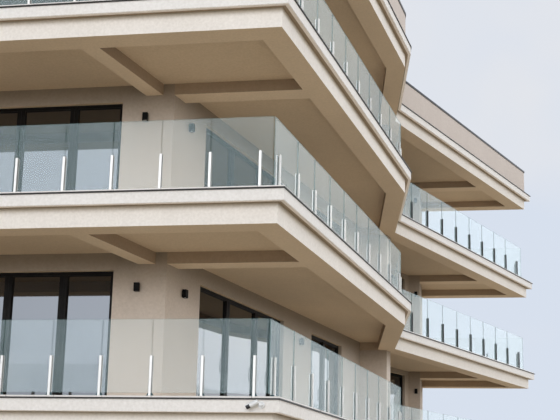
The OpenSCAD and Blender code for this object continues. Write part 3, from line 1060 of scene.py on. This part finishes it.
# %% Sills
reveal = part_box("window_frames_1")[0].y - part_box("front_wall_1")[0].y
sill_t = 0.003
sill_nose = 0.018
sill_fall = 0.002
sill_lip = 0.018
sill_end_gap = 0.002
sill = block((1.0, reveal, sill_t), (0.0, frame_front + reveal / 2.0, 0.0))
nose_y = frame_front + reveal
choose(sill, faces=looks(to_front))
extrude(y=sill_nose, z=-sill_fall)
extrude(y=sill_t)
bpy.ops.object.mode_set(mode="OBJECT")
choose(sill, faces=lambda face: face.normal.z < -0.9 and face.center.y > nose_y + sill_nose)
extrude(z=-sill_lip)
bpy.ops.object.mode_set(mode="OBJECT")
for storey, spots in window_spots.items():
    copies = []
    for spot in spots:
        copies.append(set_at(sill, spot, wider=spot.length - 2.0 * sill_end_gap - 1.0))
    finished(join(copies), "window_sills_" + storey, drip_metal)
discard(sill)

# %% [markdown]
# The wall lights shine up and down. Each is a small metal box on a back plate, rounded at
# its edges, with a recess in its top and bottom that holds a pane of frosted glass. An inset
# and an extrusion inwards make the recess, so that box and pane stay one closed mesh.

# %% Wall lights
lamp_spots = spots_of("wall_lights")
light = lamp_spots[0]
back_t = 0.010
back_arris = 0.001
body_arris = 0.005
lamp_rim = 0.006
lamp_recess = 0.010
body_h = light.height
body = block((light.length, light.depth - back_t, body_h), (0.0, back_t / 2.0, 0.0))
soften(body, body_arris, segments=2)
for up in (-1.0, 1.0):
    choose(body, faces=looks((0.0, 0.0, up), at_least=0.99))
    bpy.ops.mesh.inset(thickness=lamp_rim)
    extrude(z=-lamp_recess * up)
    bpy.ops.object.mode_set(mode="OBJECT")
body.data.materials.append(lamp_metal)
body.data.materials.append(lamp_glass.material)
for face in body.data.polygons:
    is_inside = lamp_recess - tiny < face.center.z < body_h - lamp_recess + tiny
    face.material_index = 1 if is_inside and abs(face.normal.z) > 0.99 else 0

back_size = (0.8 * light.length, back_t, 0.7 * body_h)
back = block(back_size, (0.0, (back_t - light.depth) / 2.0, (body_h - back_size[2]) / 2.0))
back.data.materials.append(lamp_metal)
lamp = join([body, soften(back, back_arris)])
lamps = join([set_at(lamp, spot) for spot in lamp_spots])
finished(lamps, "wall_lamps", replaced=["wall_lights"])
discard(lamp)

# %% [markdown]
# The security camera is a tube on a bent bracket. The frame has its main forms, and this
# lesson adds what makes them a camera. First the solid is measured: its two largest tilted
# faces are the tube's ends, and the line between them is its axis.

# %% Measure the security camera
tube = join(solids_of("security_camera"))
choose(tube, faces=anything)
bpy.ops.mesh.dissolve_limited(angle_limit=math.radians(1.0))
bpy.ops.object.mode_set(mode="OBJECT")
tilted = [face for face in tube.data.polygons if 0.2 < abs(face.normal.z) < 0.8]
ends = sorted(tilted, key=lambda face: face.area)[-2:]
low_end, high_end = sorted(ends, key=lambda face: face.center.z)
lens_end = low_end.center.copy()
tail_end = high_end.center.copy()
tube_length = (lens_end - tail_end).length
tube_radius = math.sqrt(low_end.area / math.pi)
wall_side = max(vertex.co.y for vertex in tube.data.vertices)
base_rim = [vertex.co.copy() for vertex in tube.data.vertices if vertex.co.y > wall_side - tiny]
base_middle = sum(base_rim, Vector()) / len(base_rim)
base_radius = max((point - base_middle).length for point in base_rim)
discard(tube)
sight = (lens_end - tail_end).normalized()
print("camera tube", round(tube_length, 3), "m long, radius", round(tube_radius, 3))

# %% [markdown]
# The tube's front is black and the rest is white plastic. A black ring over it would stand
# proud of the frame, so the finish itself changes: a point is on the front if it lies far
# enough along the tube's axis.

# %% Camera body
black_front = 0.050
two_tone = Finish("camera_body", Roughness=0.3)
is_front = two_tone.dot(two_tone.place(), sight) > lens_end.dot(sight) - black_front
two_tone.put("Base Color", two_tone.mix(is_front, plastic_tone(two_tone), rgb(0.012, 0.012, 0.013)))
camera_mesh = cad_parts["security_camera"].data
camera_mesh.materials.clear()
camera_mesh.materials.append(two_tone.material)
print("black front of", black_front, "m")

# %% [markdown]
# A curved hood shades the lens. It is an open tube a little wider than the camera's, of which
# only the upper part is kept. Solidify then gives it a wall, which is easier than modelling
# its inner and outer side.

# %% Camera hood
hood_gap = 0.0015
hood_overhang = 0.012
hood_wall = 0.0018
hood_from = 0.45
hood_share = 0.86
hood_length = tube_length * hood_share
bpy.ops.object.select_all(action="DESELECT")
bpy.ops.mesh.primitive_cylinder_add(
    vertices=48, radius=tube_radius + hood_gap, depth=hood_length, end_fill_type="NOTHING"
)
hood = bpy.context.object
hood.location = lens_end - sight * (hood_length / 2.0 - hood_overhang)
hood.rotation_euler = sight.to_track_quat("Z", "Y").to_euler()
bpy.ops.object.transform_apply(location=True, rotation=True, scale=True)
hood_top = sight.cross(Vector(to_front)).normalized()
if hood_top.z < 0.0:
    hood_top.negate()
choose(hood, faces=lambda face: face.normal.dot(hood_top) < hood_from)
bpy.ops.mesh.delete(type="FACE")
bpy.ops.object.mode_set(mode="OBJECT")
wall = hood.modifiers.new("wall", "SOLIDIFY")
wall.thickness = hood_wall
wall.offset = 1.0
bpy.ops.object.modifier_apply(modifier="wall")
print("hood of", len(hood.data.polygons), "faces")

# %% [markdown]
# The bracket bends in a round knuckle, and three screws with sunk heads hold its base.

# %% Camera bracket
knuckle_radius = 0.019
knuckle_w = 0.034
knuckle_arris = 0.005
knuckle_start = (base_middle.x, lens_end.y - knuckle_w / 2.0, base_middle.z)
knuckle = disc(knuckle_radius, knuckle_w, knuckle_start, to_front, sides=24)
soften(knuckle, knuckle_arris, segments=2, edges=across(1))

base_t = 0.022
screw_radius = 0.006
screw_h = 0.003
screw_recess = ((0.003, -0.0015),)
screw_ring = 0.74 * base_radius
shell_parts = [hood, knuckle]
for turn_by in (90.0, 210.0, 330.0):
    angle = math.radians(turn_by)
    x = base_middle.x + screw_ring * math.cos(angle)
    z = base_middle.z + screw_ring * math.sin(angle)
    screw = disc(screw_radius, screw_h, (x, wall_side - base_t, z), to_back, sides=12)
    choose(screw, faces=looks(to_back))
    inset_rings(screw_recess)
    bpy.ops.object.mode_set(mode="OBJECT")
    shell_parts.append(screw)
finished(join(shell_parts), "camera_hood_and_bracket", white_shell.material)

# %% [markdown]
# The lens is a round plate. Rings are inset in its face one after another, sunk and then
# raised, which gives the rim, the step and the dome of glass without a separate part.

# %% Camera lens
lens_plate_t = 0.006
lens_rings = ((0.003, 0.0), (0.008, -0.004), (0.004, 0.002), (0.005, 0.002))
face_plate = disc(tube_radius * 0.90, lens_plate_t, lens_end, sight, sides=32)
choose(face_plate, faces=looks(sight))
inset_rings(lens_rings)
bpy.ops.object.mode_set(mode="OBJECT")
finished(face_plate, "camera_lens", lens_glass.material)

# %% [markdown]
# The entrance on the unseen back has two leaves. Each leaf gets two raised panels, made by
# insetting a block's face and pushing it in and out, as a joiner's moulding does. Steel kick
# plates, hinges and a low step finish it.

# %% Entrance door panels
door_low, door_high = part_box("entrance_door")
leaf_w = (door_high.x - door_low.x) / 2.0 - frame_face
leaf_h = door_high.z - door_low.z - frame_face
leaf_y = door_low.y + 0.75 * window_spots["1"][0].depth
panel_t = 0.012
panel_arris = 0.0015
panel_from_meeting = 0.14
panel_from_hinges = 0.10
panel_w = leaf_w - panel_from_meeting - panel_from_hinges
panel_x = panel_from_meeting + panel_w / 2.0
panel_reaches = ((0.34, 0.98), (1.10, leaf_h - 0.14))
panel_rings = ((0.022, 0.0), (0.012, -0.008), (0.045, 0.007))

panels = []
for side in (-1, 1):
    for low, high in panel_reaches:
        foot = (side * panel_x, leaf_y + panel_t / 2.0, door_low.z + low)
        panel = block((panel_w, panel_t, high - low), foot)
        choose(panel, faces=looks(to_front))
        inset_rings(panel_rings)
        bpy.ops.object.mode_set(mode="OBJECT")
        panels.append(soften(panel, panel_arris))
finished(join(panels), "door_panels", window_metal)

# %% Kick plates, hinges and step
kick = (leaf_w - 0.05, 0.003, 0.22)
kick_from_middle = leaf_w / 2.0 + 0.004
kick_height = 0.04
kick_arris = 0.001
hinge_radius = 0.009
hinge_h = 0.120
hinge_out = 0.007
hinge_arris = 0.003
hinge_from_end = 0.25
step_size = (2.0 * leaf_w, 0.060, 0.012)
step_arris = 0.005

plates = []
for side in (-1, 1):
    foot = (side * kick_from_middle, leaf_y + kick[1] / 2.0, door_low.z + kick_height)
    plates.append(soften(block(kick, foot), kick_arris))
    for height in (hinge_from_end, 0.5 * leaf_h, leaf_h - hinge_from_end):
        start = (side * leaf_w, leaf_y + hinge_out, door_low.z + height - hinge_h / 2.0)
        hinge = disc(hinge_radius, hinge_h, start, sides=16)
        plates.append(soften(hinge, hinge_arris, segments=2, edges=across(2)))
step = block(step_size, (0.0, leaf_y + step_size[1] / 2.0, door_low.z))
plates.append(soften(step, step_arris, segments=2, edges=on_top(door_low.z + step_size[2])))
finished(join(plates), "door_steel", brushed.material)
